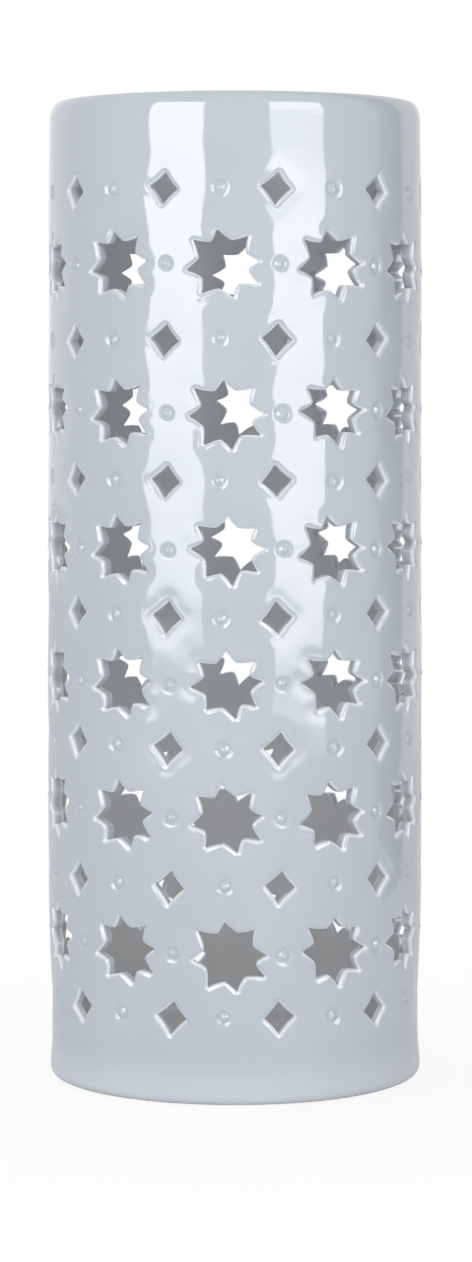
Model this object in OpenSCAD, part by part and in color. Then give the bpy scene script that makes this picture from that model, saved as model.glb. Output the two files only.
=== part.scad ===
// Tall cylindrical umbrella stand: a pierced stoneware tube with hand-cut stars and diamonds,
// rows of raised clay dots, a rounded rim, a flat base slab and a bare foot ring.
// Millimetres, +Z up. The origin is the centre of the face it stands on, and the front faces -Y.

/* [Body] */
// Height from the floor to the top of the rim
stand_h = 393.7; // [350:0.1:440]
// Outside diameter of the tube
stand_d = 152.4; // [140:0.1:170]
// Thickness of the tube wall
wall_t = 6; // [5:0.5:8]
// How far the tube draws in above the base
waist_in = 1.7; // [0:0.1:2]

/* [Rim] */
// Height of the rim coil
rim_h = 10; // [8:0.5:14]
// Outward rounding of the rim, measured across the wall
rim_round_w = 4; // [3:0.5:4]
// Outward rounding of the rim, measured down the wall
rim_round_h = 6; // [4:0.5:7]

/* [Base] */
// Height of the base slab's upper face above the floor
base_top = 11; // [9:0.5:14]
// How far the base slab stands proud of the waist
base_lip = 0.7; // [0:0.1:1.2]
// Radius of the rounded lower edge of the base slab
base_round = 3.5; // [2:0.5:4]
// How far the glazed lower edge stays clear of the floor
edge_gap = 0.4; // [0.2:0.1:1]
// Height of the bare foot ring, which is set into the slab behind its lower edge
foot_h = 2.5; // [1.5:0.5:4]
// Outside diameter of the foot ring
foot_d = 140; // [120:1:140]
// Width of the foot ring's standing face
foot_w = 12; // [8:1:16]

/* [Cut openings] */
// Reach of a star's points from its centre
star_r = 14.2; // [12:0.1:15]
// Distance from a star's centre to the valleys between its points
star_valley_r = 9.4; // [7:0.1:10]
// Width of a diamond across its side corners
diamond_w = 12.2; // [10:0.1:14]
// Height of a diamond between its upper and lower corners
diamond_h = 13; // [11:0.1:16]
// Amount of hand-cut unevenness, from none to the full amount
unevenness = 1; // [0:0.1:1]

/* [Dots] */
// Diameter of a raised dot where it meets the wall
dot_d = 6.4; // [5.5:0.1:7]
// Height of a raised dot above the wall
dot_h = 0.7; // [0.6:0.1:1.2]

/* [Hidden] */
$fn = 96;
dot_rows = 13;

eps = 0.01;
// Fine enough for the tube to be true under the shallow dots
fine_fn = 360;
glaze = "#c3cad0";
bare_clay = "#d8cbb8";

outer_r = stand_d / 2;
well_r = outer_r - wall_t;
waist_r = outer_r - waist_in;
rim_z = stand_h - rim_h;
rim_inner_round = wall_t - rim_round_w;

// The tube draws in between the lowest two rows of the pattern, and is straight above and below
waist_z = 0.105 * stand_h;
shoulder_z = 0.137 * stand_h;

// Directions of the columns of stars, from the front towards the right, and of the columns of
// diamonds between them. They were laid out by eye, so they are only about 36 degrees apart.
star_deg = [-72.5, -36.5, -2.5, 31, 64.5, 103, 141, 176, 211, 249.5];
diamond_deg = [-56.5, -21, 13, 48.5, 83.5, 122, 158, 193.5, 230, 268.5];
columns = len(star_deg);
// Heights of the rows from the lowest up, as shares of the stand's height: the first, third
// and every other row holds diamonds, and the rows between them hold stars
row_share = [0.086, 0.149, 0.215, 0.283, 0.352, 0.414, 0.481, 0.547, 0.615, 0.682, 0.754, 0.83, 0.904];
// Columns lean a little, most on the left side
lean_deg = 2.2;
// How much each row climbs from the front to the back
row_rise = [2, 2, 2, 3.5, 2, 1, 1, -1, 1, 2, 1, -1, 0];
// The layout drifts by up to this much at any one opening or dot
layout_drift = 0.5;

// Points of one star, anticlockwise from the top one: direction, and reach as a share of star_r
star_points = [
    [94, 0.93], [141, 1.04], [184, 1.02], [233, 0.96],
    [283, 0.98], [326, 1.07], [363, 1.02], [403, 0.98]
];

function dot_row_name(row) = str("dots_row_", row < 10 ? "0" : "", row);

// A repeatable number from -1 to 1 that looks random, for hand-made unevenness
function wobble(column, row, kind) =
    unevenness * sin(360 * (0.618 * column + 0.377 * row + 0.217 * kind + 0.119 * column * row));

// Height of a place in a row, and its direction, for a column that starts at this direction
function place_z(row, angle) =
    row_share[row] * stand_h + row_rise[row] * (1 - cos(angle)) / 2;

function place_angle(row, angle) =
    angle + lean_deg * (1 - sin(angle)) * (0.5 - row_share[row]);

// The direction of a dot, halfway between the two openings of its row beside it
function dot_deg(column, row) =
    let (
        openings = row % 2 == 0 ? diamond_deg : star_deg,
        before = openings[(column + columns - 1 + row % 2) % columns],
        after = openings[(column + row % 2) % columns]
    )
    before + (after - before + 720) % 360 / 2;

function wall_radius(z) =
    z >= shoulder_z ? outer_r
    : z <= waist_z ? waist_r
    : waist_r + waist_in * (z - waist_z) / (shoulder_z - waist_z);

function star_outline(column, row) = [
    for (i = [0:2 * len(star_points) - 1])
        let (
            tip = star_points[floor(i / 2)],
            after = star_points[(floor(i / 2) + 1) % len(star_points)],
            turn = 3 * wobble(column, row, 1),
            size = 1 + 0.04 * wobble(column, row, 2),
            gap = (after[0] - tip[0] + 360) % 360
        )
        i % 2 == 0
            ? polar(star_r * tip[1] * size * (1 + 0.04 * wobble(column, row, 5 + i)),
                    tip[0] + turn + 3 * wobble(column, row, 6 + i))
            : polar(star_valley_r * size, tip[0] + gap / 2 + turn)
];

function diamond_outline(column, row) = [
    for (i = [0:3])
        let (
            reach = (i % 2 == 0 ? diamond_w : diamond_h) / 2,
            turn = 7 * wobble(column, row, 1)
        )
        polar(reach * (1 + 0.07 * wobble(column, row, 5 + i)), 90 * i + turn)
];

function polar(r, angle) = [r * cos(angle), r * sin(angle)];

// Puts its children at a place in the pattern, r from the tube's axis: their X runs around the
// tube, their Y up it and their Z out of it
module at_place(column, row, angle, r) {
    rotate([0, 0, place_angle(row, angle)])
        translate([
            layout_drift * wobble(column, row, 3), -r,
            place_z(row, angle) + layout_drift * wobble(column, row, 4)
        ])
            rotate([90, 0, 0])
                children();
}

// The tube's outside as one solid, from the base slab's upper face to the rim coil
module tube_body() {
    rotate_extrude($fn = fine_fn)
        polygon([
            [0, base_top], [waist_r, base_top], [waist_r, waist_z],
            [outer_r, shoulder_z], [outer_r, rim_z], [0, rim_z]
        ]);
}

// Knife cuts square through the wall
module star_cuts(row) {
    for (column = [0:columns - 1])
        at_place(column, row, star_deg[column], well_r - wall_t)
            linear_extrude(3 * wall_t)
                polygon(star_outline(column, row));
}

module diamond_cuts(row) {
    for (column = [0:columns - 1])
        at_place(column, row, diamond_deg[column], well_r - wall_t)
            linear_extrude(3 * wall_t)
                polygon(diamond_outline(column, row));
}

module pierced_wall() {
    color(glaze)
        difference() {
            tube_body();
            translate([0, 0, base_top - eps])
                cylinder(h = rim_z - base_top + 2 * eps, r = well_r, $fn = fine_fn);
            for (row = [0:2:dot_rows - 1])
                diamond_cuts(row);
            for (row = [1:2:dot_rows - 1])
                star_cuts(row);
        }
}

module rim_coil() {
    outer_curve = [
        for (angle = [0:15:90])
            [outer_r - rim_round_w * (1 - cos(angle)), stand_h - rim_round_h * (1 - sin(angle))]
    ];
    inner_curve = [
        for (angle = [105:15:180])
            [well_r + rim_inner_round * (1 + cos(angle)), stand_h - rim_inner_round * (1 - sin(angle))]
    ];
    color(glaze)
        rotate_extrude()
            polygon(concat([[well_r, rim_z], [outer_r, rim_z]], outer_curve, inner_curve));
}

module base_slab() {
    slab_r = waist_r + base_lip;
    lower_edge = [
        for (angle = [-90:15:0])
            [slab_r - base_round + base_round * cos(angle), edge_gap + base_round + base_round * sin(angle)]
    ];
    color(glaze)
        rotate_extrude()
            polygon(concat(
                [[0, foot_h], [foot_d / 2, foot_h], [foot_d / 2, edge_gap]],
                lower_edge, [[waist_r, base_top], [0, base_top]]
            ));
}

module foot_ring() {
    color(bare_clay)
        difference() {
            cylinder(h = foot_h, d = foot_d);
            translate([0, 0, -eps])
                cylinder(h = foot_h + 2 * eps, d = foot_d - 2 * foot_w);
        }
}

// Dots sit midway between the openings of their row
module dots_row(number) {
    row = number - 1;
    sphere_r = (pow(dot_d / 2, 2) + pow(dot_h, 2)) / (2 * dot_h);
    color(glaze)
        difference() {
            for (column = [0:columns - 1])
                at_place(
                    column, row, dot_deg(column, row),
                    wall_radius(place_z(row, dot_deg(column, row))) + dot_h - sphere_r
                )
                    sphere(r = sphere_r);
            tube_body();
        }
}

pierced_wall();
rim_coil();
base_slab();
foot_ring();
for (row = [1:dot_rows])
    dots_row(row);
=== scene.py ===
import math

import bpy
import numpy as np
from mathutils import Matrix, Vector
from mathutils.geometry import delaunay_2d_cdt


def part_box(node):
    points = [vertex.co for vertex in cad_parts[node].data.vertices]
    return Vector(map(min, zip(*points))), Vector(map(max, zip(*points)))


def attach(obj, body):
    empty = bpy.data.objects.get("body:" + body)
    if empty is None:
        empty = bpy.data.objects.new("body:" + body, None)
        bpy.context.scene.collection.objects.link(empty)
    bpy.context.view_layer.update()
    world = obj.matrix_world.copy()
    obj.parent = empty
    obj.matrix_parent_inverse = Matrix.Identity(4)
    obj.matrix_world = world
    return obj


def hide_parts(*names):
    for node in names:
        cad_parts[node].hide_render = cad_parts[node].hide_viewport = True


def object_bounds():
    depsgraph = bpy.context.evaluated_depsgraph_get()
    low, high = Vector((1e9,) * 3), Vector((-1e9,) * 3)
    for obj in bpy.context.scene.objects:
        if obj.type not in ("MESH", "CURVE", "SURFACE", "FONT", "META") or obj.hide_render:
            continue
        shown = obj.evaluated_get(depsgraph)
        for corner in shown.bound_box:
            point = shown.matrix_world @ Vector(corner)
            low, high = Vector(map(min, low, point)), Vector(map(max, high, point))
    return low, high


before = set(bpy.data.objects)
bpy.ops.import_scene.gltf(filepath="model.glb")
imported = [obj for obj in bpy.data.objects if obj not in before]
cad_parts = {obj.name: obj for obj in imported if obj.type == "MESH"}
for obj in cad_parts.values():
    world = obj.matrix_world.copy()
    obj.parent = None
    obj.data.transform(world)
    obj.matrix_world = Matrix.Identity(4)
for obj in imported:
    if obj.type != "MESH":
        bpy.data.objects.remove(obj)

cad_low, cad_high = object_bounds()

# Lengths are millimetres up to make_mesh(), which turns them into metres.
# Places on the tube are (s, z): s is the way round at OUTER_R, from the front towards the right.
MM = 0.001
TAU = 2 * math.pi


def node_z(name):
    low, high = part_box(name)
    return low.z / MM, high.z / MM


STAND_H = cad_high.z / MM
OUTER_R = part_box("rim_coil")[1].x / MM
WALL_T = 6.0
WELL_R = OUTER_R - WALL_T
BASE_TOP, RIM_Z = node_z("pierced_wall")
ROUND = TAU * OUTER_R

# ---------------------------------------------------------------- the pattern, as in the CAD
STAR_DEG = (-72.5, -36.5, -2.5, 31, 64.5, 103, 141, 176, 211, 249.5)
DIAMOND_DEG = (-56.5, -21, 13, 48.5, 83.5, 122, 158, 193.5, 230, 268.5)
ROW_SHARE = (
    0.086, 0.149, 0.215, 0.283, 0.352, 0.414, 0.481, 0.547, 0.615, 0.682, 0.754, 0.83, 0.904,
)
ROW_RISE = (2, 2, 2, 3.5, 2, 1, 1, -1, 1, 2, 1, -1, 0)
LEAN_DEG, LAYOUT_DRIFT = 2.2, 0.5
STAR_R, STAR_VALLEY_R = 14.2, 9.4
DIAMOND_W, DIAMOND_H = 12.2, 13.0
# How far an opening turns, in degrees, and the share by which its size and corners vary
STAR_TURN, STAR_SPREAD = 3, 0.04
DIAMOND_TURN, DIAMOND_SPREAD = 7, 0.07
STAR_POINTS = (
    (94, 0.93), (141, 1.04), (184, 1.02), (233, 0.96),
    (283, 0.98), (326, 1.07), (363, 1.02), (403, 0.98),
)


def sin_deg(angle):
    return math.sin(math.radians(angle))


def cos_deg(angle):
    return math.cos(math.radians(angle))


def wobble(column, row, kind):
    """A repeatable number from -1 to 1, the one the CAD uses for hand-cut unevenness."""
    return sin_deg(360 * (0.618 * column + 0.377 * row + 0.217 * kind + 0.119 * column * row))


def polar(r, angle):
    return r * cos_deg(angle), r * sin_deg(angle)


def star_corners(column, row):
    turn = STAR_TURN * wobble(column, row, 1)
    size = 1 + STAR_SPREAD * wobble(column, row, 2)
    corners = []
    for i in range(2 * len(STAR_POINTS)):
        tip = STAR_POINTS[i // 2]
        after = STAR_POINTS[(i // 2 + 1) % len(STAR_POINTS)]
        if i % 2 == 0:
            reach = STAR_R * tip[1] * size * (1 + STAR_SPREAD * wobble(column, row, 5 + i))
            corners.append(polar(reach, tip[0] + turn + STAR_TURN * wobble(column, row, 6 + i)))
        else:
            gap = (after[0] - tip[0] + 360) % 360
            corners.append(polar(STAR_VALLEY_R * size, tip[0] + gap / 2 + turn))
    return corners


def diamond_corners(column, row):
    turn = DIAMOND_TURN * wobble(column, row, 1)
    corners = []
    for i in range(4):
        reach = (DIAMOND_W if i % 2 == 0 else DIAMOND_H) / 2
        reach *= 1 + DIAMOND_SPREAD * wobble(column, row, 5 + i)
        corners.append(polar(reach, 90 * i + turn))
    return corners


class Place:
    """A place in the pattern: its direction, its height, and how far it has drifted sideways."""

    def __init__(self, column, row, angle):
        share = ROW_SHARE[row]
        self.turn = math.radians(angle + LEAN_DEG * (1 - sin_deg(angle)) * (0.5 - share))
        self.side = LAYOUT_DRIFT * wobble(column, row, 3)
        self.z = (
            share * STAND_H + ROW_RISE[row] * (1 - cos_deg(angle)) / 2
            + LAYOUT_DRIFT * wobble(column, row, 4)
        )

    def angle(self, u, r):
        """The direction from the tube's axis of a point u beside the place, at radius r."""
        return self.turn + np.arcsin((self.side + u) / r)


# ---------------------------------------------------------------- the tube's surface
def smooth(x):
    x = np.clip(x, 0, 1)
    return x * x * (3 - 2 * x)


# How far the wall stays inside the solid tube
WALL_SHY = 0.35
# How far it draws in low down, up to which height, and over how much more it comes back out;
# how far it draws in under the rim, from which height, and over how much; and how far it flares
# near the floor, round which height, and how widely
WAIST_IN, WAIST_Z, WAIST_REACH = 1.6, 25, 60
TOP_IN, TOP_Z, TOP_REACH = 0.3, 325, 60
FLARE_OUT, FLARE_Z, FLARE_REACH = 0.7, 5, 6


def profile(z):
    """The tube's outer radius by height."""
    z = np.asarray(z, float)
    return (
        OUTER_R - WALL_SHY - WAIST_IN * (1 - smooth((z - WAIST_Z) / WAIST_REACH))
        + FLARE_OUT * np.exp(-(((z - FLARE_Z) / FLARE_REACH) ** 2))
        - TOP_IN * smooth((z - TOP_Z) / TOP_REACH)
    )


# Slow and short waves over the wall: how many, the shortest and longest length, and the slope
WAVE_SETS = ((40, 20, 90, 0.009), (30, 8, 20, 0.004))
rng = np.random.default_rng(7)


def wave_set(count, shortest, longest, slope):
    """One set's heights, whole numbers of waves around, waves up, and phases."""
    length = rng.uniform(shortest, longest, count)
    way = rng.uniform(0, TAU, count)
    phase = rng.uniform(0, TAU, count)
    return np.stack([
        slope * math.sqrt(2 / count) * length / TAU,
        np.rint(OUTER_R * TAU / length * np.cos(way)),
        TAU / length * np.sin(way),
        phase,
    ])


wave_height, wave_around, wave_up, wave_phase = np.concatenate(
    [wave_set(*numbers) for numbers in WAVE_SETS], 1
)


def waves(angle, z):
    """Hand-built unevenness of the wall, and its slopes around and up."""
    phase = np.multiply.outer(angle, wave_around) + np.multiply.outer(z, wave_up) + wave_phase
    rise, slope = np.cos(phase) @ wave_height, -np.sin(phase)
    return rise, slope @ (wave_height * wave_around) / OUTER_R, slope @ (wave_height * wave_up)


def wrap(s):
    """The same way round, within half a turn of the front."""
    return (s + ROUND / 2) % ROUND - ROUND / 2


# ---------------------------------------------------------------- the openings
# The lip of a cut from the wall down into it: how far from the cut, how deep, how much paler the
# glaze is all round, partly where it breaks thin over the crest and partly a painted highlight
# there, and how much paler still where the lip faces up, which is painted light from above
LIP = (
    (1.95, 0.0, 0.0, 0.0), (1.75, 0.03, 0.0, 0.0), (1.5, 0.1, 0.0, 0.1), (1.1, 0.26, 0.0, 0.7),
    (0.72, 0.43, 0.1, 0.9), (0.48, 0.56, 0.5, 0.5), (0.3, 0.72, 0.9, 0.1), (0.14, 0.95, 1.0, 0.0),
    (0.04, 1.25, 1.0, 0.0), (0.0, 1.6, 0.8, 0.0),
)
BEVEL = LIP[0][0]
# Rounding of an outline's corners, and the share of an offset that reaches its valleys
TIP_R, STAR_INNER_R, DIAMOND_TIP_R, VALLEY_SOFT = 0.35, 1.7, 0.5, 0.72
# How far an outline's edges bow, as a share of their length
EDGE_BOW = 0.03
# Points round a valley and a tip, and steps along an edge
VALLEY_POINTS, TIP_POINTS = 7, 5
STAR_STEPS, DIAMOND_STEPS = 5, 8


class Opening:
    """A cut opening: outlines of one length at any offset from the narrowest part of the cut."""

    def __init__(self, place, corners, star):
        self.place = place
        self.points, self.normals, self.soft = outline(corners, star)
        ring = self.ring(BEVEL)
        self.s = place.angle(ring[:, 0], OUTER_R) * OUTER_R
        self.z = place.z + ring[:, 1]
        self.centre = np.array([place.turn * OUTER_R + place.side, place.z])
        self.reach = np.hypot(self.s - self.centre[0], self.z - self.centre[1]).max()

    def ring(self, offset):
        """The outline moved into the clay, less far where a point of clay sticks out."""
        return self.points + self.normals * (offset * self.soft)[:, None]


def outline(corners, star):
    """A rounded outline, anticlockwise: points, outward normals, and how far offsets reach."""
    corners = np.array(corners)
    count = len(corners)
    points, normals, soft = [], [], []
    tangent = []
    for i in range(count):
        before, here, after = corners[i - 1], corners[i], corners[(i + 1) % count]
        into, out = here - before, after - here
        into, out = into / np.hypot(*into), out / np.hypot(*out)
        turn = math.atan2(into[0] * out[1] - into[1] * out[0], into @ out)
        valley = turn < 0
        r = STAR_INNER_R if valley else (TIP_R if star else DIAMOND_TIP_R)
        back = r * math.tan(abs(turn) / 2)
        tangent.append((here - into * back, into, turn, r, here + out * back, out, valley))
    for i, (start, into, turn, r, end, out, valley) in enumerate(tangent):
        way = 1 if turn > 0 else -1
        centre = start + way * r * np.array([-into[1], into[0]])
        steps = VALLEY_POINTS if valley else TIP_POINTS
        for k in range(steps):
            a = turn * k / (steps - 1)
            c, s = math.cos(a), math.sin(a)
            arm = start - centre
            arm = np.array([arm[0] * c - arm[1] * s, arm[0] * s + arm[1] * c])
            points.append(centre + arm)
            normals.append(way * arm / r)
            soft.append(VALLEY_SOFT if valley else 1.0)
        nxt = tangent[(i + 1) % count]
        steps = STAR_STEPS if star else DIAMOND_STEPS
        side = np.array([out[1], -out[0]])
        length = np.hypot(*(nxt[0] - end))
        bow = EDGE_BOW * length
        for k in range(1, steps):
            t = k / steps
            points.append(end + (nxt[0] - end) * t - side * bow * 4 * t * (1 - t))
            lean = 4 * EDGE_BOW * (1 - 2 * t)
            n = side + lean * out
            normals.append(n / np.hypot(*n))
            low, high = (VALLEY_SOFT if v else 1.0 for v in (valley, nxt[6]))
            soft.append(low + (high - low) * t)
    return np.array(points), np.array(normals), np.array(soft)


openings = []
for row in range(len(ROW_SHARE)):
    for column in range(len(STAR_DEG)):
        star = row % 2 == 1
        degrees = (STAR_DEG if star else DIAMOND_DEG)[column]
        corners = (star_corners if star else diamond_corners)(column, row)
        openings.append(Opening(Place(column, row, degrees), corners, star))


# ---------------------------------------------------------------- the dots
# A dot's slope at distances from its centre: a domed button in a round dip. Its own piece ends at
# DOT_JOIN, on the dome's side.
DOT_SLOPES = (
    (0.0, 0.0), (1.05, -0.6), (2.05, -0.66), (2.3, 0.6), (2.7, 0.5), (3.8, 0.2), (4.05, 0.0),
)
DOT_JOIN = 2.05
DOT_REACH = DOT_SLOPES[-1][0]
# The share by which dots vary in size, and how far a dome's middle may lie off, each way, from
# the middle of its dip
DOT_SPREAD, DOT_OFF = 0.09, 0.4
DOT_STEPS = 32


def dot_deg(column, row):
    """The direction of a dot, halfway between the two openings of its row beside it."""
    degrees = DIAMOND_DEG if row % 2 == 0 else STAR_DEG
    before = degrees[(column - 1 + row % 2) % len(degrees)]
    after = degrees[(column + row % 2) % len(degrees)]
    return before + (after - before) % 360 / 2


def dot_section(far):
    """A dot's height over the wall at a distance from its centre, and its slope."""
    far = np.asarray(far, float)
    height, slope, total = np.zeros(far.shape), np.zeros(far.shape), 0
    for (start, first), (end, last) in zip(DOT_SLOPES, DOT_SLOPES[1:]):
        part = np.clip(far - start, 0, end - start)
        change = (last - first) / (end - start)
        height += first * part + change * part**2 / 2
        slope = np.where((far >= start) & (far < end), first + change * (far - start), slope)
        total += (first + last) / 2 * (end - start)
    return height - total, slope


class Dot:
    """A raised dot, whose inner rings lie round a middle that is a little off its outer one's."""

    def __init__(self, column, row, angle):
        self.place = Place(column, row, angle)
        self.size = 1 + DOT_SPREAD * wobble(column, row, 7)
        self.centre = np.array([self.place.turn * OUTER_R + self.place.side, self.place.z])
        self.off = DOT_OFF * np.array([wobble(column, row, 8), wobble(column, row, 9)])

    def ring(self, far):
        way = TAU * np.arange(DOT_STEPS) / DOT_STEPS
        middle = self.off * (1 - far / DOT_REACH)
        return self.centre + self.size * (middle + far * np.stack([np.cos(way), np.sin(way)], 1))

    def from_middle(self, ds, dz):
        """How far places are from the dot's middle, which leans off its rim's, and which way."""
        u, v = ds / self.size, dz / self.size
        far = np.hypot(u, v)
        for _ in range(4):
            share = np.clip(1 - far / DOT_REACH, 0, 1)
            du, dv = u - self.off[0] * share, v - self.off[1] * share
            far = np.hypot(du, dv)
        safe = np.maximum(far, 1e-6)
        return far, du / safe, dv / safe


dots = [
    [Dot(column, row, dot_deg(column, row)) for column in range(len(STAR_DEG))]
    for row in range(len(ROW_SHARE))
]


# ---------------------------------------------------------------- the wall's surface
# How deep the wall dips beside an opening, and over how far
DIP_DEPTH, DIP_REACH = 0.16, 2.6


def surface(s, z, domes=False):
    """The wall's outer radius at places on it, and its slopes around and up. Under the domes it
    is flat, or else it is their own surface."""
    r = profile(z)
    step = 0.5
    rise, around, up = waves(s / OUTER_R, z)
    r = r + rise
    up = up + (profile(z + step) - profile(z - step)) / (2 * step)
    around = around.copy()
    for opening in openings:
        ds, dz = wrap(s - opening.centre[0]), z - opening.centre[1]
        near = np.flatnonzero(ds**2 + dz**2 < (opening.reach + 3 * DIP_REACH) ** 2)
        if not len(near):
            continue
        gap_s = ds[near, None] - (opening.s - opening.centre[0])[None, :]
        gap_z = dz[near, None] - (opening.z - opening.centre[1])[None, :]
        square = gap_s**2 + gap_z**2
        nearest = square.argmin(1)
        pick = np.arange(len(near)), nearest
        dip = DIP_DEPTH * np.exp(-square[pick] / DIP_REACH**2)
        r[near] -= dip
        around[near] += dip * 2 * gap_s[pick] / DIP_REACH**2
        up[near] += dip * 2 * gap_z[pick] / DIP_REACH**2
    for dot in (d for row in dots for d in row):
        ds, dz = wrap(s - dot.centre[0]), z - dot.centre[1]
        near = np.flatnonzero(ds**2 + dz**2 < (dot.size * DOT_REACH) ** 2)
        if not len(near):
            continue
        far, way_s, way_z = dot.from_middle(ds[near], dz[near])
        height, slope = dot_section(far if domes else np.maximum(far, DOT_JOIN))
        r[near] += height * dot.size
        around[near] += slope * way_s
        up[near] += slope * way_z
    return r, around, up


def on_tube(angle, r, z):
    """Places in space from directions, radii and heights."""
    return np.stack([r * np.sin(angle), -r * np.cos(angle), z], -1)


def tube_normal(angle, around, up):
    """Outward normals where the radius climbs by these slopes around and up."""
    n = np.stack([
        np.sin(angle) - around * np.cos(angle), -np.cos(angle) - around * np.sin(angle), -up
    ], -1)
    return n / np.linalg.norm(n, axis=1, keepdims=True)


# ---------------------------------------------------------------- triangulating round the openings
# Points round the wall's top and bottom, where the rim and the base join it
RING_STEPS = 240
# Height of a triangle whose sides are 1
TRIANGLE_H = 0.866
# The seam passes this dot's column, this many degrees beside it, in rows of diamonds and of stars
SEAM_BESIDE = ((9, -9.0), (8, 4.6))


def seam(z):
    """Where the unrolled wall is slit, as s: it winds between the openings at the back."""
    heights, ways = [], []
    for row, row_dots in enumerate(dots):
        column, beside = SEAM_BESIDE[row % 2]
        way, height = row_dots[column].centre
        heights.append(height)
        ways.append(way + math.radians(beside) * OUTER_R)
    return np.interp(z, heights, ways) - ROUND


def between_seams(ring):
    """A ring moved by whole turns, to lie between the slit's two sides."""
    turns = np.floor((ring[:, 0].mean() - seam(ring[:, 1].mean())) / ROUND)
    return ring - (turns * ROUND, 0)


def triangulate(outlines, dot_rings, spacing, clear, low, high):
    """Triangles of the unrolled wall round the outlines, each an (n, 2) array of (s, z), and
    through the dots' rings, which say whether their edges are kept. The grid in between has this
    spacing and stays clear of them by that much. Returns all the places, the outlines' first,
    the triangles, and the wall's lowest and highest places in order."""
    places, edges = [], []
    starts = []
    for ring, kept in [(ring, True) for ring in outlines] + dot_rings:
        start = sum(len(p) for p in places)
        starts.append(start)
        n = len(ring)
        if kept:
            edges += [(start + k, start + (k + 1) % n) for k in range(n)]
        places.append(between_seams(ring))
    # the slit's two sides, and the top and bottom edges
    count = int((high - low) / spacing)
    slit_z = np.linspace(low, high, count + 1)
    left = np.stack([seam(slit_z), slit_z], 1)
    right = left + (ROUND, 0)
    level = np.arange(1, RING_STEPS) * ROUND / RING_STEPS
    bottom = np.stack([left[0, 0] + level, np.full(RING_STEPS - 1, low)], 1)
    top = np.stack([left[-1, 0] + level, np.full(RING_STEPS - 1, high)], 1)
    at = sum(len(p) for p in places)
    n_left = len(left)
    for line in (left, right, bottom, top):
        places.append(line)
    left_at, right_at = at, at + n_left
    bottom_at, top_at = right_at + n_left, right_at + n_left + RING_STEPS - 1
    edges += [(left_at + k, left_at + k + 1) for k in range(count)]
    edges += [(right_at + k, right_at + k + 1) for k in range(count)]
    for first, inner, last in (
        (left_at, bottom_at, right_at), (left_at + count, top_at, right_at + count)
    ):
        chain = [first, *range(inner, inner + RING_STEPS - 1), last]
        edges += list(zip(chain, chain[1:]))
    # a staggered grid in between, clear of the outlines and edges
    rows = int((high - low) / (spacing * TRIANGLE_H))
    across = int(ROUND / spacing)
    grid = []
    for j in range(1, rows):
        z = low + (high - low) * j / rows
        s = seam(z) + ((np.arange(across) + 0.5 * (j % 2) + 0.25) / across) * ROUND
        grid.append(np.stack([s, np.full(across, z)], 1))
    grid = np.concatenate(grid)
    keep = np.ones(len(grid), bool)
    for ring in places[:len(outlines) + len(dot_rings)]:
        centre = ring.mean(0)
        reach = np.hypot(*(ring - centre).T).max() + clear
        near = np.flatnonzero(((grid - centre) ** 2).sum(1) < reach**2)
        gap = np.sqrt(((grid[near, None] - ring[None]) ** 2).sum(2)).min(1)
        keep[near[inside(grid[near], ring) | (gap < clear)]] = False
    places.append(grid[keep])
    places = np.concatenate(places)
    out = delaunay_2d_cdt([Vector(p) for p in places], edges, [], 0, 1e-5)
    new_places, triangles, came_from = out[0], np.array(out[2]), out[3]
    origin = np.array([c[0] if c else -1 for c in came_from])
    assert (origin >= 0).all() and len(new_places) == len(places)
    triangles = origin[triangles]
    # keep what lies between the slit's sides and outside the openings
    middle = places[triangles].mean(1)
    start = np.interp(middle[:, 1], slit_z, left[:, 0])
    good = (middle[:, 0] > start) & (middle[:, 0] < start + ROUND)
    owner = np.full(len(places), -1)
    for k, ring in enumerate(outlines):
        owner[starts[k]:starts[k] + len(ring)] = k
    owners = owner[triangles]
    same = (owners[:, 0] >= 0) & (owners[:, 0] == owners[:, 1]) & (owners[:, 0] == owners[:, 2])
    for t in np.flatnonzero(same):
        k = owners[t, 0]
        ring = places[starts[k]:starts[k] + len(outlines[k])]
        if inside(middle[t][None], ring)[0]:
            good[t] = False
    triangles = triangles[good]
    # the slit's right side is its left side
    same_as = np.arange(len(places))
    same_as[right_at:right_at + n_left] = np.arange(left_at, left_at + n_left)
    triangles = same_as[triangles]
    lowest = [left_at, *range(bottom_at, bottom_at + RING_STEPS - 1)]
    highest = [left_at + count, *range(top_at, top_at + RING_STEPS - 1)]
    return places, triangles, lowest, highest


def inside(points, ring):
    """Which of the points lie inside the closed outline."""
    x, y = points[:, 0, None], points[:, 1, None]
    x0, y0 = ring[:, 0][None], ring[:, 1][None]
    x1, y1 = np.roll(ring[:, 0], -1)[None], np.roll(ring[:, 1], -1)[None]
    crosses = (y0 > y) != (y1 > y)
    with np.errstate(divide="ignore", invalid="ignore"):
        at = x0 + (y - y0) * (x1 - x0) / (y1 - y0)
    return (crosses & (x < at)).sum(1) % 2 == 1


# ---------------------------------------------------------------- making pieces
def make_mesh(name, vertices, faces, normals, material, slot, *replaced, thin_glaze_and_light=None):
    """A smooth piece from vertices in millimetres. Rows of zeros in normals take the faces' own.
    The last argument says where the glaze is paler, from 0 to 1: partly glaze run thin, partly
    painted light."""
    mesh = bpy.data.meshes.new(name)
    mesh.from_pydata((np.asarray(vertices) * MM).tolist(), [], faces)
    mesh.polygons.foreach_set("use_smooth", np.ones(len(mesh.polygons), bool))
    own = np.empty(3 * len(mesh.vertices), np.float32)
    mesh.vertex_normals.foreach_get("vector", own)
    own = own.reshape(-1, 3)
    given = np.asarray(normals)
    blank = (given**2).sum(1) < 0.5
    mesh.normals_split_custom_set_from_vertices(np.where(blank[:, None], own, given).tolist())
    # the paler glaze, partly painted light, kept on each point
    mark = mesh.attributes.new("thin_glaze_and_light", "FLOAT", "POINT")
    mark.data.foreach_set("value", np.zeros(len(mesh.vertices)) if thin_glaze_and_light is None else thin_glaze_and_light)
    piece = bpy.data.objects.new(name, mesh)
    bpy.context.scene.collection.objects.link(piece)
    mesh.materials.append(material)
    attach(piece, "root")
    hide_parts(*replaced)
    return piece


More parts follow.
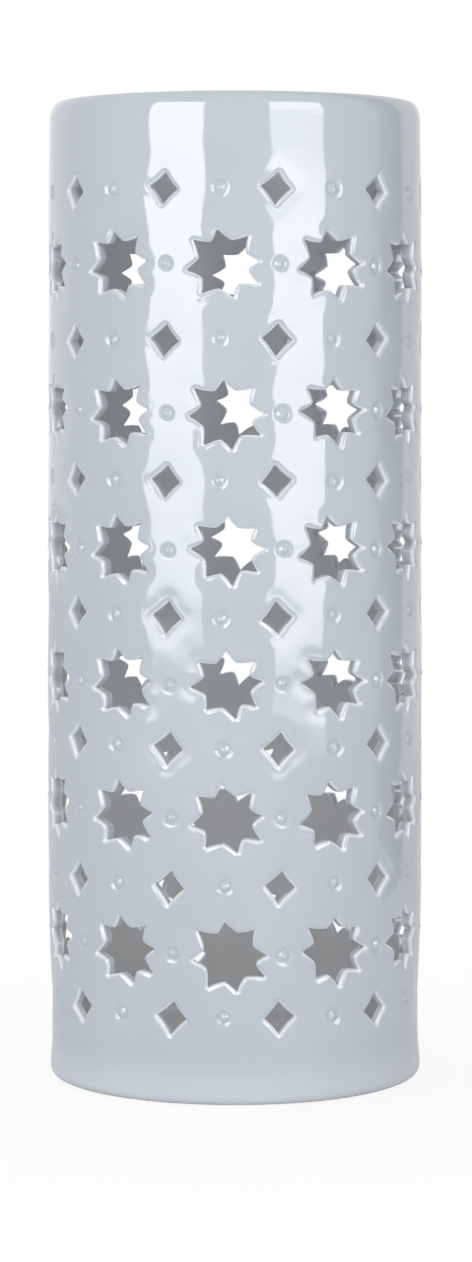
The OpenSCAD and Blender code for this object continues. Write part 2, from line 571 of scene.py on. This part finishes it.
def band(lower, upper):
    """Quads between two closed rings of vertex numbers of one length."""
    n = len(lower)
    return [
        (int(lower[k]), int(lower[(k + 1) % n]), int(upper[(k + 1) % n]), int(upper[k]))
        for k in range(n)
    ]


def ring_angles(z):
    """Directions of the wall's points round an end of it, from the seam on."""
    return (seam(z) + ROUND * np.arange(RING_STEPS) / RING_STEPS) / OUTER_R


def lathe(sections, angles):
    """Turned vertices and faces from sections (r, z, share of the wall's waves), outside last
    to first, closed at the ends that reach the axis."""
    n = len(angles)
    vertices, faces = [], []
    for r, z, share in sections:
        rise = waves(angles, np.full(n, float(z)))[0] if share else 0
        vertices.append(on_tube(angles, r + share * rise, np.full(n, float(z))))
    for k in range(len(sections)):
        lower = np.arange(n) + k * n
        upper = np.arange(n) + (k + 1) % len(sections) * n
        faces += band(lower, upper)
    return np.concatenate(vertices), faces


# How much paler the glaze is at the foot, as painted light thrown up from the floor, and up to
# which height
FOOT_PAINTED_LIGHT, FOOT_PAINTED_LIGHT_Z = 0.3, 20.0


def painted_foot_light(z):
    """How much paler the outside is low down, towards the foot: painted light thrown up from the
    floor.
    """
    return FOOT_PAINTED_LIGHT * smooth((FOOT_PAINTED_LIGHT_Z - z) / FOOT_PAINTED_LIGHT_Z)


# Painted light on the lips, from above and a little from the right: how much it counts that a lip
# faces right and that it faces up, and the share of this that is left on openings above a height,
# which grows to all of it by so much lower down
FACING_RIGHT, FACING_UP = 0.3, 0.85
FACING_HIGH, FACING_HIGH_Z, FACING_FADE = 0.3, 260, 130


def lip_top_light(opening):
    """How far each point of an opening's lip faces up, and a little to the right: painted light
    from above that makes the lip paler.
    """
    top_light = -FACING_RIGHT * opening.normals[:, 0] - FACING_UP * opening.normals[:, 1]
    low_share = smooth((FACING_HIGH_Z - opening.place.z) / FACING_FADE)
    return np.maximum(0, top_light) * (FACING_HIGH + (1 - FACING_HIGH) * low_share)


# Spacing of the triangles' grid, and how clear it stays of the outlines
OUTER_GRID, INNER_GRID = (2.0, 0.8), (3.0, 1.2)
# The inside has this share of the outside's waves
INNER_WAVES = 0.6
# Radius of the inside's rounding into a cut, and how much paler the glaze is in the cut and on
# it: partly thin glaze, partly painted light that lifts the shade in the cut
INNER_BEVEL = 0.6
CUT_THIN_AND_LIT, INNER_THIN_AND_LIT = 0.1, 0.6
# The wall's rings round a dot, from the dome's own edge out to the end of its dip
DOT_RINGS = (DOT_JOIN, 2.3, 2.5, 2.7, 3.0, 3.3, 3.55, 3.8, DOT_REACH)


def build_wall(material):
    """The pierced tube: outside, inside, and the cut edges between them."""
    rings = [np.stack([o.s, o.z], 1) for o in openings]
    dot_rings = []
    for dot in (d for row in dots for d in row):
        dot_rings.append((dot.ring(DOT_REACH), False))
        dot_rings.append((dot.ring(DOT_JOIN), True))
        dot_rings += [(dot.ring(far), False) for far in DOT_RINGS[1:-1]]
        dot_rings.append((dot.ring(0)[:1], False))
    places, outer_faces, outer_low, outer_high = triangulate(
        rings, dot_rings, *OUTER_GRID, BASE_TOP, RIM_Z
    )
    angle = places[:, 0] / OUTER_R
    r, around, up = surface(places[:, 0], places[:, 1])
    vertices = [on_tube(angle, r, places[:, 1])]
    normals = [tube_normal(angle, around, up)]
    faces = outer_faces.tolist()
    count = len(places)
    # the inside
    inner_rings = []
    for o in openings:
        ring = o.ring(INNER_BEVEL)
        way = o.place.angle(ring[:, 0], WELL_R) * OUTER_R
        inner_rings.append(np.stack([way, o.place.z + ring[:, 1]], 1))
    inner_places, inner_faces, inner_low, inner_high = triangulate(
        inner_rings, [], *INNER_GRID, BASE_TOP, RIM_Z
    )
    inner_angle = inner_places[:, 0] / OUTER_R
    rise, around, up = waves(inner_angle, inner_places[:, 1])
    vertices.append(on_tube(inner_angle, WELL_R + INNER_WAVES * rise, inner_places[:, 1]))
    normals.append(-tube_normal(inner_angle, INNER_WAVES * around, INNER_WAVES * up))
    faces += (inner_faces[:, ::-1] + count).tolist()
    inner_start = count
    count += len(inner_places)
    # the cut edges: a rounded lip, a straight cut, a small rounding inside
    # how much paler the glaze is; low on the outside this is painted light thrown up from the floor
    thin_glaze_and_light = [painted_foot_light(places[:, 1]), np.zeros(len(inner_places))]
    start = 0
    for o in openings:
        n = len(o.points)
        outside = np.arange(start, start + n)
        inner_end = inner_start + outside
        start += n
        face_r = r[outside]
        previous = outside
        steps = []
        # the lip is painted paler where it faces up and to the right, as painted light from above
        top_light = lip_top_light(o)
        for offset, depth, share, top_light_share in LIP[1:]:
            steps.append((offset, face_r - depth, share + top_light_share * top_light))
        low = WELL_R + INNER_BEVEL
        for share in (0.33, 0.67, 1):
            steps.append((0, (face_r - LIP[-1][1]) * (1 - share) + low * share, CUT_THIN_AND_LIT))
        for degree in (30, 60):
            offset = INNER_BEVEL * (1 - cos_deg(degree))
            steps.append((offset, WELL_R + INNER_BEVEL * (1 - sin_deg(degree)), INNER_THIN_AND_LIT))
        for offset, ring_r, share in steps:
            thin_glaze_and_light.append(np.minimum(1, share + np.zeros(n)))
            ring = o.ring(offset)
            angle = o.place.angle(ring[:, 0], ring_r)
            vertices.append(on_tube(angle, ring_r + np.zeros(n), o.place.z + ring[:, 1]))
            normals.append(np.zeros((n, 3)))
            here = np.arange(count, count + n)
            count += n
            faces += band(previous, here)
            previous = here
        faces += band(previous, inner_end)
    # the top and bottom, hidden by the rim and the base
    faces += band(inner_start + np.array(inner_low), outer_low)
    faces += band(outer_high, inner_start + np.array(inner_high))
    return make_mesh("Wall", np.concatenate(vertices), faces, np.concatenate(normals), material,
                     "glazed_stoneware", "pierced_wall", thin_glaze_and_light=np.concatenate(thin_glaze_and_light))


# Outward rounding of the rim, across the wall and down it
RIM_ROUND_W, RIM_ROUND_H = 4.0, 8.0


def build_rim(material):
    """The rounded lip, whose lower edge is the wall's own upper edge."""
    angles = ring_angles(RIM_Z)
    top_r = float(profile(RIM_Z))
    sections = [(WELL_R, RIM_Z, INNER_WAVES)]
    sections += [(top_r, RIM_Z + z, 1 - 0.1 * z) for z in (0, 0.9, 1.8)]
    for degree in range(0, 91, 9):
        sections.append((
            top_r - RIM_ROUND_W * (1 - cos_deg(degree)),
            STAND_H - RIM_ROUND_H * (1 - sin_deg(degree)),
            INNER_WAVES,
        ))
    inner = top_r - RIM_ROUND_W - WELL_R
    for degree in range(105, 181, 15):
        sections.append((
            WELL_R + inner * (1 + cos_deg(degree)),
            STAND_H - inner * (1 - sin_deg(degree)),
            INNER_WAVES,
        ))
    vertices, faces = lathe(sections, angles)
    normals = np.zeros_like(vertices)
    edge = slice(RING_STEPS, 2 * RING_STEPS)
    _, around, up = surface(angles * OUTER_R, np.full(RING_STEPS, RIM_Z))
    normals[edge] = tube_normal(angles, around, up)
    _, around, up = waves(angles, np.full(RING_STEPS, RIM_Z))
    normals[:RING_STEPS] = -tube_normal(angles, INNER_WAVES * around, INNER_WAVES * up)
    return make_mesh("Rim", vertices, faces, normals, material, "glazed_stoneware", "rim_coil")


# How far the glazed edge stays clear of the floor, and the foot ring, as in the CAD
EDGE_GAP, FOOT_H = 0.4, 2.5
FOOT_R, FOOT_W = 70.0, 12.0
# The well's floor lies this far above the slab, rises into the wall by a fillet, and the fillet's
# outer end and the slab's hidden side reach into the wall by this much
WELL_LIFT, FILLET, FILLET_BITE, WALL_BITE = 0.15, 5, 0.2, 0.8
# Where the glazed edge starts to turn under, and how far in it turns
EDGE_Z, EDGE_IN = 4.0, 3.4
# Shares of the wall's waves on the edge below the wall, and where it turns under
EDGE_WAVES, UNDER_WAVES = 0.8, 0.6
# A lathe's end at the axis
AXIS_R = 0.01


def build_base(material):
    """The floor of the well and the glazed edge that comes down round the foot ring."""
    angles = ring_angles(BASE_TOP)
    floor_z = BASE_TOP + WELL_LIFT
    edge_r = float(profile(EDGE_Z))
    sections = [(r, floor_z, 0) for r in (AXIS_R, 20, 40, 55)]
    for degree in range(0, 91, 15):
        sections.append((
            WELL_R - FILLET + (FILLET + FILLET_BITE) * sin_deg(degree),
            floor_z + FILLET * (1 - cos_deg(degree)),
            0,
        ))
    side_r = WELL_R + WALL_BITE
    sections += [(side_r, BASE_TOP + FILLET, 0), (side_r, BASE_TOP, 0)]
    for z in (BASE_TOP, 9, 7, 5.5, EDGE_Z):
        sections.append((float(profile(z)), z, 1 if z == BASE_TOP else EDGE_WAVES))
    for degree in range(15, 91, 15):
        sections.append((
            edge_r - EDGE_IN * (1 - cos_deg(degree)),
            EDGE_Z - (EDGE_Z - EDGE_GAP) * sin_deg(degree),
            UNDER_WAVES,
        ))
    sections += [
        (FOOT_R + 0.3, EDGE_GAP + 0.1, 0), (FOOT_R, EDGE_GAP + 0.5, 0),
        (FOOT_R, FOOT_H, 0), (30, FOOT_H, 0), (AXIS_R, FOOT_H, 0),
    ]
    vertices, faces = lathe(sections[::-1], angles)
    normals = np.zeros_like(vertices)
    join = next(i for i, s in enumerate(sections[::-1]) if s[1] == BASE_TOP and s[2] == 1)
    _, around, up = surface(angles * OUTER_R, np.full(RING_STEPS, BASE_TOP))
    normals[join * RING_STEPS:(join + 1) * RING_STEPS] = tube_normal(angles, around, up)
    outside = np.hypot(vertices[:, 0], vertices[:, 1]) > FOOT_R + 1
    # low on the outside the glaze is painted paler, as painted light thrown up from the floor
    thin_glaze_and_light = np.where(outside, painted_foot_light(vertices[:, 2]), 0)
    return make_mesh("Base", vertices, faces, normals, material, "glazed_stoneware", "base_slab",
                     thin_glaze_and_light=thin_glaze_and_light)


def build_foot(material):
    """The bare clay ring the stand rests on."""
    inner, outer, top = FOOT_R - FOOT_W, FOOT_R, FOOT_H
    sections = [
        (inner, top, 0), (inner, 0.6, 0), (inner + 0.2, 0.2, 0), (inner + 0.7, 0, 0),
        (outer - 0.7, 0, 0), (outer - 0.2, 0.2, 0), (outer, 0.6, 0), (outer, top, 0),
    ]
    vertices, faces = lathe(sections, ring_angles(BASE_TOP))
    return make_mesh("Foot", vertices, faces, np.zeros_like(vertices), material, "bare_clay",
                     "foot_ring")


# A dome's rings, and how far behind its edge its flat back lies
DOME_RINGS = (0.2, 0.4, 0.6, 0.8, 1.05, 1.3, 1.55, 1.8, DOT_JOIN)
DOT_BACK = 1.0


def build_dots(row, material):
    """One row's domed buttons, each closed by a flat back inside the wall."""
    vertices, faces, normals = [], [], []
    count = 0
    for dot in dots[row]:
        places = np.concatenate([dot.ring(0)[:1], *(dot.ring(far) for far in DOME_RINGS)])
        angle = places[:, 0] / OUTER_R
        r, around, up = surface(places[:, 0], places[:, 1], domes=True)
        back = np.concatenate([np.arange(len(places))[-DOT_STEPS:], [0]])
        back_r = r[-1] - DOT_BACK + np.zeros(len(back))
        vertices += [
            on_tube(angle, r, places[:, 1]), on_tube(angle[back], back_r, places[back, 1])
        ]
        normals += [tube_normal(angle, around, up), np.zeros((len(back), 3))]
        first = count + 1 + DOT_STEPS * np.arange(len(DOME_RINGS) + 1)
        ring = [start + np.arange(DOT_STEPS) for start in first]
        faces += [(count, int(a), int(b)) for a, b in zip(ring[0], np.roll(ring[0], -1))]
        for inner, outer in zip(ring, ring[1:]):
            faces += band(outer, inner)
        count += len(places) + len(back)
        faces += [(count - 1, int(b), int(a)) for a, b in zip(ring[-1], np.roll(ring[-1], -1))]
    number = row + 1
    return make_mesh(f"Dots.{number:02d}", np.concatenate(vertices), faces, np.concatenate(normals),
                     material, "glazed_stoneware", f"dots_row_{number:02d}")


# ---------------------------------------------------------------- materials
class Nodes:
    """A short way to build a node tree."""

    def __init__(self, tree):
        self.tree = tree
        tree.nodes.clear()

    def add(self, kind, inputs=(), **settings):
        node = self.tree.nodes.new(kind)
        for name, value in settings.items():
            setattr(node, name, value)
        for key, value in dict(inputs).items():
            if isinstance(value, bpy.types.NodeSocket):
                self.tree.links.new(value, node.inputs[key])
            else:
                node.inputs[key].default_value = value
        return node

    def noise(self, where, scale, detail=2.0, roughness=0.5):
        return self.add("ShaderNodeTexNoise", {
            "Vector": where, "Scale": scale, "Detail": detail, "Roughness": roughness
        }).outputs["Fac"]

    def ramp(self, value, *stops):
        node = self.add("ShaderNodeValToRGB", {"Fac": value})
        elements = node.color_ramp.elements
        while len(elements) < len(stops):
            elements.new(0.5)
        for element, (at, color) in zip(elements, stops):
            element.position, element.color = at, color
        return node.outputs["Color"]

    def span(self, value, low, high):
        return self.add("ShaderNodeMapRange", {
            "Value": value, "To Min": low, "To Max": high
        }).outputs["Result"]

    def share(self, value, start, end):
        """How far a value has come from start to end, from 0 to 1."""
        return self.add("ShaderNodeMapRange", {
            "Value": value, "From Min": start, "From Max": end
        }).outputs["Result"]

    def blend(self, share, first, second):
        return self.add("ShaderNodeMix", {0: share, 6: first, 7: second}, data_type="RGBA").outputs[2]


def srgb(red, green, blue):
    def linear(c):
        c /= 255
        return c / 12.92 if c <= 0.04045 else ((c + 0.055) / 1.055) ** 2.4

    return linear(red), linear(green), linear(blue), 1.0


def new_material(name):
    material = bpy.data.materials.new(name)
    material.use_nodes = True
    return material, Nodes(material.node_tree)


def glaze_material():
    material, n = new_material("Glaze")
    where = n.add("ShaderNodeTexCoord").outputs["Object"]
    cloud = n.noise(where, 14.0, 3.0, 0.55)
    body = n.ramp(cloud, (0.3, srgb(186, 193, 201)), (0.7, srgb(191, 198, 206)))
    # the paler colour: partly glaze run thin, partly painted light on the lips and at the foot
    thin_glaze_and_light = n.add("ShaderNodeAttribute", attribute_name="thin_glaze_and_light").outputs["Fac"]
    outer = n.blend(thin_glaze_and_light, body, srgb(232, 236, 240))
    # inside the tube the glaze is duller, and painted paler, palest towards the bottom: painted light
    # that lifts the shade deep in the well
    flat = n.add("ShaderNodeVectorMath", {0: where, 1: (1, 1, 0)}, operation="MULTIPLY").outputs[0]
    from_axis = n.add("ShaderNodeVectorMath", {0: flat}, operation="LENGTH").outputs["Value"]
    inside_share = n.share(from_axis, (WELL_R + 1.5) * MM, (WELL_R + 0.8) * MM)
    height = n.add("ShaderNodeSeparateXYZ", {"Vector": where}).outputs["Z"]
    inner = n.ramp(
        n.share(height, 0.08, 0.37), (0.0, srgb(235, 236, 237)), (1.0, srgb(176, 180, 186))
    )
    color = n.blend(inside_share, outer, inner)
    gloss = n.span(n.noise(where, 60.0), 0.05, 0.09)
    dull = n.add("ShaderNodeMix", {0: inside_share, 2: gloss, 3: 0.3}).outputs[0]
    ripple = n.noise(where, 160.0, 1.0)
    bump = n.add("ShaderNodeBump", {"Strength": 1.0, "Distance": 0.00004, "Height": ripple})
    shader = n.add("ShaderNodeBsdfPrincipled", {
        "Base Color": color, "Roughness": dull,
        "IOR": 1.55, "Normal": bump.outputs["Normal"],
    })
    n.add("ShaderNodeOutputMaterial", {"Surface": shader.outputs["BSDF"]})
    return material


def clay_material():
    material, n = new_material("BareClay")
    where = n.add("ShaderNodeTexCoord").outputs["Object"]
    grain = n.noise(where, 900.0, 6.0, 0.65)
    color = n.ramp(grain, (0.35, srgb(200, 186, 165)), (0.7, srgb(226, 215, 197)))
    bump = n.add("ShaderNodeBump", {"Strength": 0.5, "Distance": 0.0002, "Height": grain})
    shader = n.add("ShaderNodeBsdfPrincipled", {
        "Base Color": color, "Roughness": 0.85, "Normal": bump.outputs["Normal"],
    })
    n.add("ShaderNodeOutputMaterial", {"Surface": shader.outputs["BSDF"]})
    return material


glaze, clay = glaze_material(), clay_material()
build_wall(glaze)
build_rim(glaze)
build_base(glaze)
build_foot(clay)
for row in range(len(ROW_SHARE)):
    build_dots(row, glaze)

# ---------------------------------------------------------------- studio
def shade_floor():
    """White paper: to the camera it is white with the object's shadow kept, faintly."""
    material, n = new_material("Paper")
    ray = n.add("ShaderNodeLightPath").outputs["Is Camera Ray"]
    paper = n.add("ShaderNodeBsdfDiffuse", {"Color": (0.86, 0.87, 0.88, 1)})
    white = n.add("ShaderNodeEmission", {"Color": (1, 1, 1, 1), "Strength": 1.0})
    where = n.add("ShaderNodeTexCoord").outputs["Object"]
    far = n.add("ShaderNodeVectorMath", {0: where}, operation="LENGTH").outputs["Value"]
    kept = n.add("ShaderNodeMapRange", {
        "Value": far, "From Min": 0.1, "From Max": 0.5, "To Min": 0.88, "To Max": 1.0
    }).outputs["Result"]
    share = n.add("ShaderNodeMath", {0: ray, 1: kept}, operation="MULTIPLY").outputs[0]
    mix = n.add("ShaderNodeMixShader", {0: share, 1: paper.outputs[0], 2: white.outputs[0]})
    n.add("ShaderNodeOutputMaterial", {"Surface": mix.outputs[0]})
    return material


def build_floor():
    """A wide sheet of paper that ends nearer at the right than elsewhere."""
    mesh = bpy.data.meshes.new("Floor")
    half, right = 4.0, 0.64
    mesh.from_pydata(
        [(-half, -half, 0), (right, -half, 0), (right, half, 0), (-half, half, 0)], [], [(0, 1, 2, 3)]
    )
    mesh.materials.append(shade_floor())
    floor = bpy.data.objects.new("Floor", mesh)
    bpy.context.scene.collection.objects.link(floor)


# Brightness of the studio round the object, by direction from the front towards the right: pale
# walls, a darker gap at the right, and the white backdrop behind
ROOM = (
    (-180, 1.05), (-126, 1.05), (-116, 0.8), (-30, 0.8), (-18, 0.95), (18, 0.95),
    (30, 0.8), (96, 0.8), (100, 0.0), (122, 0.0), (127, 0.85), (160, 0.9), (180, 1.05),
)


def build_world():
    """The room for reflections and light, and plain white for the camera."""
    world = bpy.data.worlds.new("Studio")
    bpy.context.scene.world = world
    world.use_nodes = True
    n = Nodes(world.node_tree)
    ray = n.add("ShaderNodeLightPath").outputs["Is Camera Ray"]
    coordinates = n.add("ShaderNodeTexCoord").outputs["Generated"]
    way = n.add("ShaderNodeSeparateXYZ", {"Vector": coordinates}).outputs
    ahead = n.add("ShaderNodeMath", {0: way["Y"], 1: -1.0}, operation="MULTIPLY").outputs[0]
    turn = n.add("ShaderNodeMath", {0: way["X"], 1: ahead}, operation="ARCTAN2").outputs[0]
    share = n.share(turn, -math.pi, math.pi)
    walls = n.ramp(share, *((0.5 + azimuth / 360, (v, v, v, 1)) for azimuth, v in ROOM))
    room = n.add("ShaderNodeBackground", {"Color": walls, "Strength": 1.0})
    white = n.add("ShaderNodeBackground", {"Color": (1, 1, 1, 1), "Strength": 1.0})
    mix = n.add("ShaderNodeMixShader", {0: ray, 1: room.outputs[0], 2: white.outputs[0]})
    n.add("ShaderNodeOutputWorld", {"Surface": mix.outputs[0]})


def lamp(name, place, azimuth, width, height, radiance, dim=(), gloss=True):
    """A softbox facing the tube's axis, for its gloss or for its matt colour alone. dim gives
    its brightness at shares of its height."""
    light = bpy.data.lights.new(name, "AREA")
    light.shape = "RECTANGLE"
    light.size, light.size_y = width, height
    light.energy = radiance * math.pi * width * height
    if dim:
        light.use_nodes = True
        n = Nodes(light.node_tree)
        over = n.add("ShaderNodeNewGeometry").outputs["Parametric"]
        height_share = n.add("ShaderNodeSeparateXYZ", {"Vector": over}).outputs["Y"]
        rise = n.ramp(height_share, *((at, (v, v, v, 1)) for at, v in dim))
        n.add("ShaderNodeOutputLight", {
            "Surface": n.add("ShaderNodeEmission", {"Strength": rise}).outputs[0]
        })
    holder = bpy.data.objects.new(name, light)
    holder.location = place
    holder.rotation_euler = (math.radians(90), 0, math.radians(azimuth))
    holder.visible_camera = False
    holder.visible_diffuse = not gloss
    holder.visible_glossy = gloss
    bpy.context.scene.collection.objects.link(holder)


def strip_lamp(name, azimuth, low, high, width, radiance, dim):
    """An upright lamp 1 m from the tube's axis, between two heights."""
    a = math.radians(azimuth)
    place = (math.sin(a), -math.cos(a), (low + high) / 2)
    lamp(name, place, azimuth, width, high - low, radiance, dim)


build_floor()
build_world()
strip_lamp("StripLeft", -35.1, 0.07, 0.95, 0.592, 7.3, (
    (0, 0), (0.042, 0.45), (0.081, 0.7), (0.191, 0.77), (0.288, 0.9), (0.431, 1),
))
strip_lamp("StripRight", 38.1, 0.045, 0.95, 0.58, 6.7, (
    (0, 0), (0.069, 0.68), (0.114, 0.86), (0.214, 0.9), (0.318, 1), (0.388, 1), (0.445, 0.65),
    (0.6, 1),
))
lamp("Fill", (0, -1.7, 0.4), 0, 1.2, 1.0, 2.3, gloss=False)

# ---------------------------------------------------------------- camera
# Level, so a shift frames the stand. The lens is for a 36 mm sensor along the picture's height.
CAMERA_PLACE = (0, -1.5, 0.2845)
SENSOR, LENS = 36, 105.1189
SHIFT_X, SHIFT_Y = 0.0008716, -0.2052298
camera = bpy.data.cameras.new("Camera")
camera.sensor_width, camera.lens = SENSOR, LENS
camera.shift_x, camera.shift_y = SHIFT_X, SHIFT_Y
camera.clip_start, camera.clip_end = 0.05, 50
holder = bpy.data.objects.new("Camera", camera)
holder.location = CAMERA_PLACE
holder.rotation_euler = (math.radians(90), 0, 0)
bpy.context.scene.collection.objects.link(holder)
bpy.context.scene.camera = holder
bpy.context.scene.view_settings.view_transform = "Standard"
